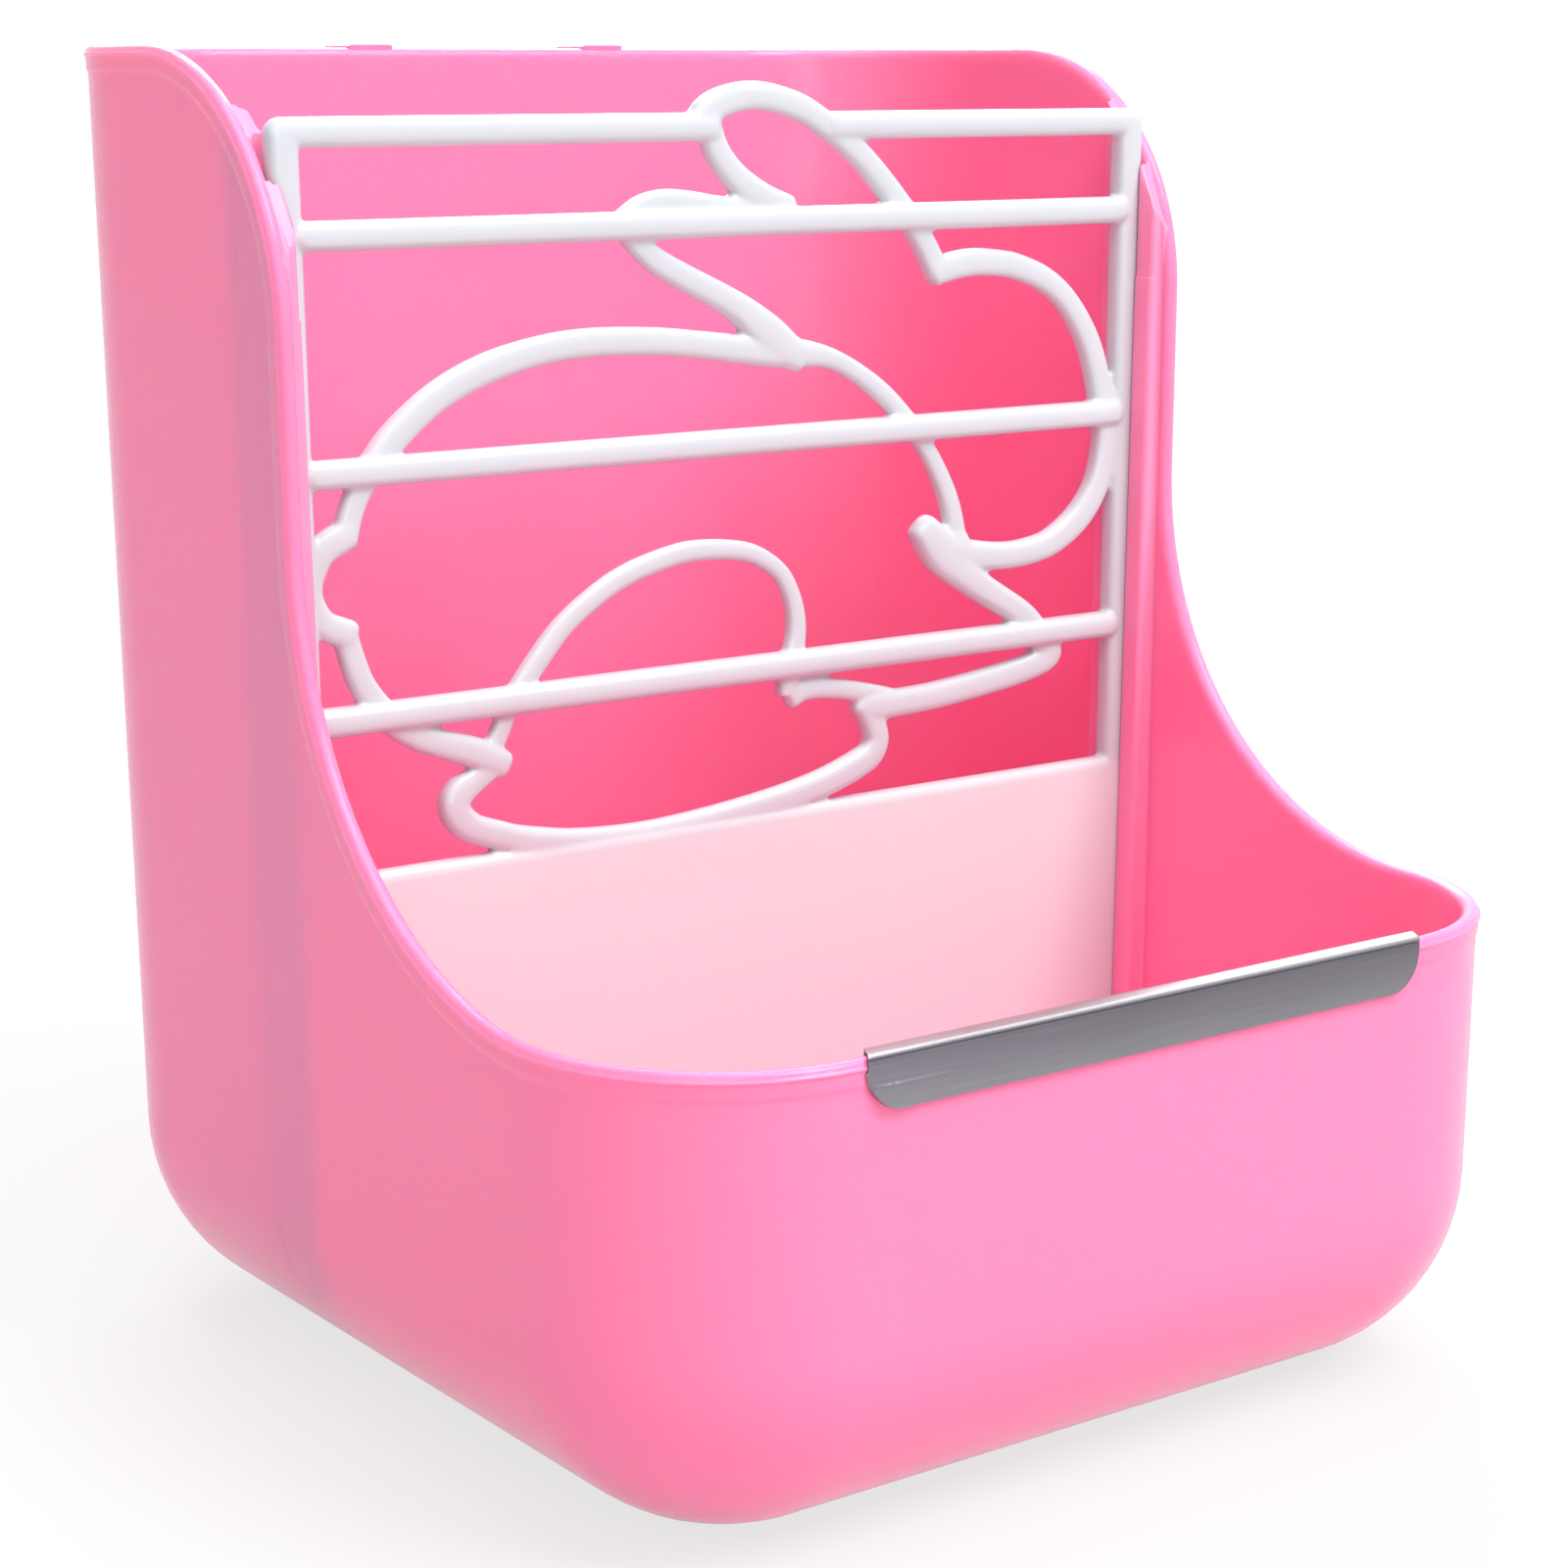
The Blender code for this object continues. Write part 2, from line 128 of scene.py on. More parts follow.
def swoop_path():
    """A side wall's edge in side view, from the back corner to the front one.

    Each point is (y, z, inward y, inward z, share), where the share says how far back along the
    foot the same strip of wall ends.
    """
    path = []
    begin, upper, upright, lower, end = FOOT_SHARES
    flat_start = TUB_BACK - CORNER
    top = Vector((SWOOP_EDGE + UPPER_SWOOP, TUB_HEIGHT - UPPER_SWOOP))
    low = Vector((SWOOP_EDGE - LOWER_SWOOP, BOWL_RIM + LOWER_SWOOP))
    for i in range(1, 6):
        path.append((flat_start + (top.x - flat_start) * i / 6, TUB_HEIGHT, 0, -1,
                     begin + (upper - begin) * i / 6))
    for i in range(35):
        t = math.radians(90 + 90 * i / 34)
        path.append((top.x + UPPER_SWOOP * math.cos(t), top.y + UPPER_SWOOP * math.sin(t),
                     -math.cos(t), -math.sin(t), upper + (upright - upper) * i / 34))
    for i in range(1, 12):
        path.append((SWOOP_EDGE, top.y + (low.y - top.y) * i / 12, 1, 0,
                     upright + (lower - upright) * i / 12))
    for i in range(40):
        t = math.radians(-90 * i / 40)
        path.append((low.x + LOWER_SWOOP * math.cos(t), low.y + LOWER_SWOOP * math.sin(t),
                     math.cos(t), math.sin(t), lower + (end - lower) * i / 40))
    return path


def tub_columns():
    """Once round the tub: (station, the edge's (y, z), the way into the wall, the foot's share)."""
    columns = []

    def corner(sx, sy, flip):
        z = TUB_HEIGHT if sy > 0 else BOWL_RIM
        for i in range(CORNER_STEPS + 1):
            t = math.radians(90 * (CORNER_STEPS - i if flip else i) / CORNER_STEPS)
            columns.append((("corner", (sx, sy), t), (None, z), (0, -1), None))

    def side(sx, points):
        for y, z, in_y, in_z, share in points:
            columns.append((("side", sx, None), (y, z), (in_y, in_z), share))

    for i in range(1, BACK_STEPS):
        columns.append((("end", 1, 1 - 2 * i / BACK_STEPS), (None, TUB_HEIGHT), (0, -1), None))
    corner(-1, 1, True)
    side(-1, swoop_path())
    corner(-1, -1, False)
    for i in range(1, FRONT_STEPS):
        columns.append((("end", -1, -1 + 2 * i / FRONT_STEPS), (None, BOWL_RIM), (0, -1), None))
    corner(1, -1, True)
    side(1, swoop_path()[::-1])
    corner(1, 1, False)
    return columns


# The bead: depth below the edge and inset from the outer face, in mm, up the outside, over and down
# the inside. The ridge at a depth of 1 mm is the parting line.
BAND = 6 * MM
BEAD_OUTSIDE = [(6, 0), (4.4, 0), (3.7, 0), (3.4, -0.02), (3.15, -0.09), (2.95, -0.18), (2.7, -0.22),
                (1.6, -0.24), (1.32, -0.25), (1.22, -0.35), (1.12, -0.43), (0.98, -0.43), (0.87, -0.34),
                (0.76, -0.2), (0.5, -0.12), (0.3, 0.02), (0.14, 0.2), (0.04, 0.45), (0, 0.7)]
BEAD_INSIDE = [(0.02, 0.95), (0.1, 1.2), (0.24, 1.45), (0.45, 1.68), (0.75, 1.86), (1.15, 1.97), (1.6, 2.0),
               (2.4, 2.0), (4, 2.0), (6, 2.0)]


def column_points(column):
    """The section of the tub's skin at one column, from the underside over the edge to the floor."""
    station, (edge_y, edge_z), (in_y, in_z), foot_share = column

    def at(depth, inset):
        y = None if edge_y is None else edge_y + in_y * depth
        return wall_point(station, edge_z + in_z * depth, inset, y)

    def down(inset, base, radius):
        """From the rim's band down the wall, round the foot and in along the floor."""
        start_z = edge_z + in_z * BAND
        share = None
        if edge_y is not None:
            low, high = side_range(start_z)
            share = (edge_y + in_y * BAND - low) / (high - low)

        def place(z, drawn_in, t):
            if share is None:
                return wall_point(station, z, drawn_in)
            low, high = side_range(z)
            along = share + (foot_share - share) * t
            return wall_point(station, z, drawn_in, low + (high - low) * along)

        points = []
        for i in range(1, WALL_STEPS + 1):
            points.append(place(start_z + (base - start_z) * i / WALL_STEPS, inset, i / WALL_STEPS))
        for i in range(1, FOOT_STEPS + 1):
            t = math.radians(90 * i / FOOT_STEPS)
            points.append(place(base - radius * math.sin(t), inset + radius * (1 - math.cos(t)), 1))
        return points

    outside = [at(d * MM, n * MM) for d, n in BEAD_OUTSIDE]
    inside = [at(d * MM, n * MM) for d, n in BEAD_INSIDE]
    return down(0, FOOT, FOOT)[::-1] + outside + inside + down(WALL, FOOT, FOOT - WALL)


def make_tub():
    """The skin, column by column, with its underside and floor closed by a ring and a flat face."""
    bm = bmesh.new()
    grid = [[bm.verts.new(p) for p in column_points(c)] for c in tub_columns()]
    for a, b in zip(grid, grid[1:] + grid[:1]):
        for i in range(len(a) - 1):
            bm.faces.new((a[i], a[i + 1], b[i + 1], b[i]))
    for end, z in ((0, 0.0), (-1, WALL)):
        ring = [column[end] for column in grid]
        inner = [bm.verts.new((v.co.x * FLOOR_RING, v.co.y * FLOOR_RING, z)) for v in ring]
        for i in range(len(ring)):
            j = (i + 1) % len(ring)
            bm.faces.new((ring[i], ring[j], inner[j], inner[i]))
        bm.faces.new(inner)
    bmesh.ops.recalc_face_normals(bm, faces=bm.faces)
    return bm


def piece(name, bm, material):
    """A finished mesh as a smooth-shaded object of the scene."""
    mesh = bpy.data.meshes.new(name)
    bm.to_mesh(mesh)
    bm.free()
    obj = bpy.data.objects.new(name, mesh)
    scene.collection.objects.link(obj)
    mesh.materials.append(material)
    mesh.shade_smooth()
    return obj


# Moulded pink polypropylene. A polished mould leaves it glossy, with a faint unevenness of about
# 2 mm where the melt shrank. The walls are only 2 mm thick and let red light through, so the inside
# glows. Over the rear guide rib the wall has sunk a little, which shows as one upright line.
SINK_AT = 9.2 * MM
SINK_HALF = 1.4 * MM
SINK_DEPTH = 0.03 * MM

pink = bpy.data.materials.new("moulded_pink_polypropylene")
pink.use_nodes = True
tree = pink.node_tree
skin = tree.nodes["Principled BSDF"]
skin.inputs["IOR"].default_value = 1.49
skin.inputs["Specular IOR Level"].default_value = 0.3
skin.inputs["Subsurface Weight"].default_value = 0.7
skin.inputs["Subsurface Radius"].default_value = (1.0, 0.1, 0.17)
skin.inputs["Subsurface Scale"].default_value = 4 * MM
place = add(tree, "ShaderNodeTexCoord")
flow = add(tree, "ShaderNodeTexNoise", {"Vector": place.outputs["Object"], "Scale": 12, "Detail": 1})
tint = add(tree, "ShaderNodeMix", {"Factor": flow.outputs["Fac"], 6: linear("#FE85B1"),
                                   7: linear("#FE8AB5")}, data_type="RGBA")
tree.links.new(tint.outputs[2], skin.inputs["Base Color"])
gloss = add(tree, "ShaderNodeTexNoise", {"Vector": place.outputs["Object"], "Scale": 40, "Detail": 1})
rough = add(tree, "ShaderNodeMapRange", {"Value": gloss.outputs["Fac"], "To Min": 0.2, "To Max": 0.25})
tree.links.new(rough.outputs["Result"], skin.inputs["Roughness"])
peel = add(tree, "ShaderNodeTexNoise", {"Vector": place.outputs["Object"], "Scale": 500, "Detail": 1})
bump = add(tree, "ShaderNodeBump", {"Height": peel.outputs["Fac"], "Strength": 0.1, "Distance": 0.01 * MM})
split = add(tree, "ShaderNodeSeparateXYZ", {"Vector": place.outputs["Object"]})
off = add(tree, "ShaderNodeMath", {0: split.outputs["Y"], 1: SINK_AT}, operation="SUBTRACT")
away = add(tree, "ShaderNodeMath", {0: off.outputs[0]}, operation="ABSOLUTE")
wide = add(tree, "ShaderNodeMapRange", {"Value": away.outputs[0], "From Max": SINK_HALF},
           interpolation_type="SMOOTHSTEP")
sink = add(tree, "ShaderNodeBump", {"Height": wide.outputs["Result"], "Strength": 1.0,
                                    "Distance": SINK_DEPTH, "Normal": bump.outputs["Normal"]})
tree.links.new(sink.outputs["Normal"], skin.inputs["Normal"])

tub = piece("tub_shell", make_tub(), pink)
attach(tub, "feeder")
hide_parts("feeder_body")


# The guide ribs. Two upright ribs on each side wall, moulded with the tub, make the channel that
# the grille slides down in. They reach further in lower down, the front ones have a small step, and
# all reach in less at the top, as a lead-in, where the edge's swoop trims them.

RIB_REACH = 1.3 * MM
RIB_DRAFT = math.radians(0.45)
RIB_STEP = 0.2 * MM
RIB_LEVELS = [13, 14.5, 16, 18, 20, 22, 24, 26, 30, 45, 60, 75, 90, 100, 110, 120, 128, 132, 134.4,
              135.2, 135.45, 135.55, 135.7, 138, 141, 143, 144.5, 146, 147.5, 149, 150.5, 152, 153.5,
              155, 156.5, 158, 159.5, 161]
# Name, front face, rear face, top, height of the lead-in and top of the step in mm, and whether the
# rounded edge is the front one.
RIBS = [("front", 0.9, 4.17, 153.2, 5, 135.5, True), ("rear", 8.7, 11.8, 160.5, 2.5, 0, False)]
LEAD_BACK = 0.45
ROUND_EDGE = 0.8 * MM
CHANNEL_EDGE = 0.08 * MM


def edge_height(y):
    """The height of the side wall's edge at y, behind the swoop's foremost point."""
    back = SWOOP_EDGE + UPPER_SWOOP - y
    if back <= 0:
        return TUB_HEIGHT
    return TUB_HEIGHT - UPPER_SWOOP + math.sqrt(max(UPPER_SWOOP ** 2 - back ** 2, 0))


def foot_inset(z):
    """How far in from the wall's inner face the round foot has come at height z."""
    radius = FOOT - WALL
    drop = max(FOOT - z, 0)
    return radius - math.sqrt(max(radius ** 2 - drop ** 2, 0))


def arc(across, up, radius, start, end, steps):
    """Points on an arc round (across, up), between two angles in degrees."""
    turns = [math.radians(start + (end - start) * i / steps) for i in range(steps + 1)]
    return [(across + radius * math.cos(t), up + radius * math.sin(t)) for t in turns]


def make_rib(side, front, rear, top, lead, step_height, rounded_front):
    """A rib's skin: rings in plan, from the foot up. Its rounded edge is away from the channel."""
    bm = bmesh.new()
    rings = []
    width = rear - front
    for z in [z * MM for z in RIB_LEVELS if z * MM < top] + [top]:
        reach = RIB_REACH + (TUB_HEIGHT - z) * math.tan(RIB_DRAFT)
        if z < step_height:
            reach += RIB_STEP
        rise = max(0, (z - (top - lead)) / lead)
        reach -= RIB_REACH * LEAD_BACK * rise ** 2
        # How far in from the wall, and how far back from the rounded edge. The outline starts and
        # ends inside the wall, and small fillets lead out of it.
        outline = [(-1.2 * MM, -0.5 * MM), (0, -0.55 * MM), (0.08 * MM, -0.3 * MM),
                   (0.2 * MM, -0.12 * MM), (0.42 * MM, 0)]
        r = min(ROUND_EDGE, reach * 0.6)
        outline += arc(reach - r, r, r, -90, 0, 6)
        r = CHANNEL_EDGE
        outline += arc(reach - r, width - r, r, 0, 90, 4)
        outline += [(0.3 * MM, width), (0.1 * MM, width + 0.06 * MM), (0, width + 0.25 * MM),
                    (-1.2 * MM, width + 0.25 * MM)]
        ring = []
        for inwards, back in outline:
            y = front + back if rounded_front else rear - back
            trimmed = min(z, edge_height(y) - 0.25 * MM)
            inwards = max(inwards, foot_inset(trimmed) - 1.0 * MM)
            ring.append(bm.verts.new((side * (tub_half(trimmed) - WALL - inwards), y, trimmed)))
        rings.append(ring)
    for low, high in zip(rings, rings[1:]):
        for i in range(len(low) - 1):
            bm.faces.new((low[i], low[i + 1], high[i + 1], high[i]))
    bm.faces.new(rings[-1])
    bmesh.ops.remove_doubles(bm, verts=bm.verts, dist=0.002 * MM)
    bmesh.ops.dissolve_degenerate(bm, edges=bm.edges, dist=0.002 * MM)
    bmesh.ops.recalc_face_normals(bm, faces=bm.faces)
    return bm


# The same plastic where the rib backs the wall: too thick for light to come through. Its pink is painted
# lighter than the tub's, as painted light on the ribs' shaded faces.
rib_pink_painted_light = pink.copy()
rib_pink_painted_light.name = "moulded_pink_polypropylene_thick_painted_light"
skin = rib_pink_painted_light.node_tree.nodes["Principled BSDF"]
skin.inputs["Subsurface Weight"].default_value = 0.3
skin.inputs["Subsurface Scale"].default_value = 0.8 * MM
tint = rib_pink_painted_light.node_tree.nodes[tint.name]
# Painted light: a lighter pink than the tub's.
tint.inputs[6].default_value, tint.inputs[7].default_value = linear("#FE90B8"), linear("#FE95BC")

for side, hand in ((-1, "left"), (1, "right")):
    for name, *sizes, rounded_front in RIBS:
        rib_bm = make_rib(side, *[size * MM for size in sizes], rounded_front)
        rib = piece("%s_guide_rib_%s" % (name, hand), rib_bm, rib_pink_painted_light)
        rib.data.set_sharp_from_angle(angle=math.radians(50))
        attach(rib, "feeder")


# The cage hooks. Two flat tongues, moulded with the tub, leave the top of its back wall, turn down
# and leave a slot in which a cage wire sits.

HOOK_ACROSS = 38 * MM
HOOK_WIDTH = 7 * MM
HOOK_SLOT = 4.6 * MM
HOOK_THICKNESS = 2.6 * MM
HOOK_LENGTH = 15 * MM
HOOK_TOP = 167.4 * MM
HOOK_BEND = 2.4 * MM
SLOT_BEND = 0.5 * MM
HOOK_EDGE = 0.4 * MM


def make_hook(centre):
    """The hook's side view, drawn with round bends, made as wide as the hook and its edges broken."""
    tongue, tip = TUB_BACK + HOOK_SLOT, TUB_BACK + HOOK_SLOT + HOOK_THICKNESS
    under = HOOK_TOP - HOOK_THICKNESS
    foot = HOOK_TOP - HOOK_LENGTH
    root = TUB_BACK - 1.5 * MM
    outline = [(root, HOOK_TOP)]
    outline += arc(tip - HOOK_BEND, HOOK_TOP - HOOK_BEND, HOOK_BEND, 90, 0, 8)
    outline += arc((tongue + tip) / 2, foot + HOOK_THICKNESS / 2, HOOK_THICKNESS / 2, 0, -180, 6)
    outline += arc(tongue - SLOT_BEND, under - SLOT_BEND, SLOT_BEND, 0, 90, 4)
    outline += arc(TUB_BACK + 0.9 * SLOT_BEND, under - SLOT_BEND, SLOT_BEND, 90, 180, 4)
    outline.append((root, under - SLOT_BEND))
    bm = bmesh.new()
    ends = (centre - HOOK_WIDTH / 2, centre + HOOK_WIDTH / 2)
    sides = [[bm.verts.new((x, y, z)) for y, z in outline] for x in ends]
    for i in range(len(outline)):
        j = (i + 1) % len(outline)
        bm.faces.new((sides[0][i], sides[0][j], sides[1][j], sides[1][i]))
    for ring in sides:
        bm.faces.new(ring)
    bmesh.ops.recalc_face_normals(bm, faces=bm.faces)
    flat = [e for e in bm.edges if len(e.link_faces) == 2 and e.calc_face_angle() > math.radians(60)
            and abs(e.verts[0].co.x - e.verts[1].co.x) < 1e-7]
    bmesh.ops.bevel(bm, geom=flat, offset=HOOK_EDGE, segments=3, profile=0.5, affect="EDGES")
    return bm


for side, hand in ((-1, "left"), (1, "right")):
    hook = piece("cage_hook_" + hand, make_hook(side * HOOK_ACROSS / 2), pink)
    hook.data.set_sharp_from_angle(angle=math.radians(40))
    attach(hook, "feeder")


# The grille. One injection moulding in white polypropylene: a frame with three cross bars, a plain
# rabbit drawn in bars between them, and a solid plate that parts the hay from the bowl. All bars
# melt into each other with small fillets, and the cross bars stand a little proud in front.

GRILLE_FRONT = 4.3 * MM
GRILLE_REAR = 7.8 * MM
PLATE_TOP = 67.3 * MM
TOP_BAR_HEIGHT = 156.77 * MM
GRILLE_PLAY = 0.3 * MM
UPRIGHT = 4.1 * MM
TOP_BAR = 3.7 * MM
FRAME_CORNER = 2.2 * MM
PLATE_SHEET = 2.6 * MM
RING_POINTS = 24
VOXEL = 0.33 * MM
# Height and width of each cross bar, and the form of its ends in mm: the distance from the end, the
# share of the width that is reached there, and how far the bar stands proud of the frame.
CROSS_BARS = [(144.75 * MM, 3.7 * MM), (116.65 * MM, 3.6 * MM), (86.55 * MM, 3.65 * MM)]
CROSS_BAR_END = [(0, 0.4, 0), (0.25, 0.66, 0.12), (0.6, 0.86, 0.26), (1.1, 0.96, 0.4), (1.8, 1, 0.5)]
# The rabbit's bars: x from the middle, height over the plate's top and width, in mm.
RABBIT_BARS = {
    "brow": [(-6.7, 88.9, 3.9), (-6.1, 90.5, 4.0), (-4.6, 91.9, 3.9), (-1.4, 93.0, 3.8),
             (2.6, 93.3, 3.7), (8.2, 92.1, 3.6), (11.2, 90.8, 3.5), (18.8, 85.7, 3.4),
             (26.3, 78.1, 3.5), (29.4, 74.3, 3.4), (32.2, 69.6, 3.5)],
    "ear_front": [(-5.2, 91.8, 3.4), (-5.1, 90.1, 3.4), (-4.7, 88.4, 3.4), (-3.7, 86.2, 3.5),
                  (-1.5, 83.6, 3.6), (1.2, 81.5, 3.9), (4.3, 80.1, 3.6), (8.4, 79.1, 2.7)],
    "ear_back": [(-17.8, 78.2, 3.2), (-15.5, 79.6, 3.2), (-12.3, 80.3, 3.2), (-8.9, 80.1, 3.2),
                 (-3.0, 79.2, 3.3), (0.6, 79.3, 3.4), (3.4, 79.3, 3.2)],
    "ear_low": [(-17.5, 76.9, 3.1), (-16.4, 75.5, 3.2), (-13.2, 72.9, 3.4), (-2.7, 67.7, 3.7),
                (0.1, 66.0, 4.2), (4.1, 62.9, 5.2), (7.5, 60.5, 4.6), (9.9, 59.7, 4.1)],
    "back": [(-58.7, 41.7, 3.3), (-57.7, 44.9, 3.2), (-55.8, 48.4, 3.3), (-52.2, 52.7, 3.7),
             (-45.8, 57.6, 3.7), (-39.1, 60.6, 3.8), (-31.3, 62.5, 3.7), (-24.1, 63.2, 3.7),
             (-13.6, 62.9, 3.6), (-6.4, 62.1, 3.6), (2.4, 60.9, 3.9), (7.2, 60.5, 4.1), (14.3, 59.3, 2.8),
             (22.5, 54.5, 2.8), (29.4, 47.6, 2.6), (33.2, 41.5, 2.8), (34.7, 37.7, 3.0), (35.8, 32.6, 3.1)],
    "tail": [(-57.9, 42.2, 3.6), (-59.8, 41.4, 3.8), (-62.0, 40.0, 3.6), (-63.7, 36.0, 3.3),
             (-63.3, 33.4, 3.4), (-61.9, 31.3, 3.6), (-59.6, 30.2, 3.7), (-57.4, 29.5, 3.5)],
    "rump": [(-59.2, 30.6, 3.2), (-58.7, 28.5, 3.2), (-57.7, 25.3, 3.3), (-56.7, 23.1, 3.3),
             (-53.1, 18.6, 3.5), (-49.0, 15.9, 3.5), (-47.5, 15.3, 3.5), (-41.2, 13.1, 4.0),
             (-36.3, 10.7, 3.5)],
    "belly": [(-37.8, 11.6, 3.2), (-39.8, 10.6, 3.2), (-42.1, 9.3, 3.5), (-43.5, 8.5, 3.9), (-44.1, 7.8, 4.0),
              (-44.4, 7.1, 4.1), (-44.2, 5.7, 4.1), (-42.5, 3.9, 4.0), (-41.1, 3.2, 3.8), (-37.2, 1.8, 3.8),
              (-36.5, 1.5, 3.8), (-31.0, 0.1, 4.1), (-26.2, -0.5, 3.8), (-14.8, -0.9, 3.7), (2.2, 0.5, 3.8),
              (12.6, 2.3, 3.9), (18.8, 4.3, 3.9), (20.9, 5.4, 3.8), (21.9, 7.3, 3.7), (20.8, 10.7, 3.6),
              (18.7, 13.4, 3.5)],
    "haunch": [(-39.6, 12.4, 2.6), (-38.0, 14.7, 2.6), (-36.5, 17.7, 2.6), (-35.3, 19.7, 2.7),
               (-31.7, 24.0, 2.9), (-27.7, 28.1, 2.8), (-21.5, 32.1, 2.8), (-18.6, 33.4, 2.8),
               (-16.2, 34.2, 2.8), (-11.5, 35.3, 2.8), (-8.3, 35.7, 2.8), (-2.5, 35.4, 2.7),
               (1.5, 34.5, 2.6), (5.5, 32.0, 2.5), (7.0, 30.0, 2.5), (8.2, 26.9, 2.6), (8.5, 23.7, 2.8),
               (7.9, 20.6, 3.0), (7.2, 18.3, 3.1), (7.1, 16.7, 3.2), (6.9, 15.0, 3.2)],
    "paw": [(24.6, 12.6, 3.0), (22.0, 13.4, 2.9), (15.4, 15.0, 2.8), (9.5, 15.4, 2.9), (6.6, 14.3, 3.3)],
    "foreleg": [(19.6, 12.2, 3.4), (21.4, 12.0, 4.0), (24.9, 12.0, 3.9), (32.2, 12.3, 3.8), (45.1, 13.8, 3.8),
                (47.4, 14.2, 3.8), (50.8, 15.0, 3.8), (51.6, 15.3, 3.8), (52.6, 16.2, 3.8),
                (52.1, 17.4, 3.8), (50.6, 18.2, 3.8), (49.4, 20.2, 3.8), (47.7, 21.9, 3.8),
                (38.0, 27.9, 4.4), (33.0, 32.1, 5.9), (28.9, 36.6, 3.8)],
    "cheek": [(31.0, 69.8, 3.7), (33.0, 70.4, 3.8), (37.9, 71.1, 3.8), (43.6, 70.7, 3.6),
              (45.2, 70.4, 3.6), (50.6, 68.4, 3.5), (54.5, 65.6, 3.4), (58.0, 61.1, 3.5),
              (59.8, 57.4, 3.6), (61.5, 51.3, 3.7), (62.3, 47.0, 3.8), (61.9, 42.6, 3.8),
              (60.5, 38.6, 3.8), (57.5, 34.9, 3.9), (52.5, 31.8, 3.8), (47.8, 30.8, 3.8),
              (42.9, 30.7, 3.9), (34.9, 31.8, 4.5), (33.6, 32.2, 4.4)],
    "throat": [(35.2, 34.8, 3.2), (35.4, 32.7, 4.6), (34.1, 30.8, 5.0)],
}
# These end in a rounded tip of their own, and the others end inside another bar.
FREE_TIPS = ("ear_front", "ear_low", "tail", "rump", "belly", "paw", "foreleg")
TIP_LENGTH = 1.2


def panel_half(z):
    """Half the grille's width at height z."""
    return tub_half(z) - WALL - GRILLE_PLAY


def rounded_path(points, step):
    """A smooth curve through points of any dimension, which doesn't overshoot where they lie close."""
    vectors = [Vector(p) for p in points]
    padded = [2 * vectors[0] - vectors[1]] + vectors + [2 * vectors[-1] - vectors[-2]]
    curve = []
    for a, b, c, d in zip(padded, padded[1:], padded[2:], padded[3:]):
        before, here, after = (math.sqrt((q - p).length) for p, q in ((a, b), (b, c), (c, d)))
        leave = (c - b) + here * ((b - a) / before - (c - a) / (before + here))
        arrive = (c - b) + here * ((d - c) / after - (d - b) / (here + after))
        count = max(1, round((c - b).length / step))
        for i in range(count):
            t = i / count
            curve.append((1 + 2 * t) * (1 - t) ** 2 * b + t * (1 - t) ** 2 * leave
                         + t * t * (3 - 2 * t) * c + t * t * (t - 1) * arrive)
    return curve + [vectors[-1]]


def loft(bm, sections, squareness):
    """Join sections (middle, across, width, front, rear) into a closed bar.

    A squareness of 2 gives an oval section, and more gives a boxier one.
    """
    rings = []
    for middle, across, width, front, rear in sections:
        ring = []
        for k in range(RING_POINTS):
            t = math.radians(360 * k / RING_POINTS)
            u = math.copysign(abs(math.cos(t)) ** (2 / squareness), math.cos(t)) * width / 2
            v = math.copysign(abs(math.sin(t)) ** (2 / squareness), math.sin(t)) * (rear - front) / 2
            place = (middle.x + across.x * u, (front + rear) / 2 + v, middle.y + across.y * u)
            ring.append(bm.verts.new(place))
        rings.append(ring)
    for low, high in zip(rings, rings[1:]):
        for k in range(RING_POINTS):
            j = (k + 1) % RING_POINTS
            bm.faces.new((low[k], low[j], high[j], high[k]))
    bm.faces.new(rings[0])
    bm.faces.new(rings[-1])


def level_bar(bm, z, stops, squareness):
    """A level bar at height z through (x, width, how far it stands proud in front) stops."""
    loft(bm, [(Vector((x, z)), Vector((0, 1)), width, GRILLE_FRONT - proud, GRILLE_REAR)
              for x, width, proud in stops], squareness)


def rabbit_bar(bm, points, free_tip):
    """A bar along points in mm, which is rounded off at its last point if that is free.

    It is a little shallower than the frame, and shallower still where it is narrow.
    """
    curve = rounded_path(points, 0.35)
    middle = (GRILLE_FRONT + GRILLE_REAR) / 2
    deepest = (GRILLE_REAR - GRILLE_FRONT) / 2 - 0.05 * MM
    sections = []
    for i, (x, z, width) in enumerate(curve):
        along = (curve[min(i + 1, len(curve) - 1)] - curve[max(i - 1, 0)]).xy.normalized()
        from_tip = (curve[i] - curve[-1]).length if free_tip else TIP_LENGTH
        full = math.sqrt(1.01 - max(1 - from_tip / TIP_LENGTH, 0) ** 2.5)
        depth = min(deepest, (0.35 * width + 0.1) * MM) * full
        place = Vector((x * MM, PLATE_TOP + z * MM))
        across = Vector((-along.y, along.x))
        sections.append((place, across, width * full * MM, middle - depth, middle + depth))
    loft(bm, sections, 3.2)


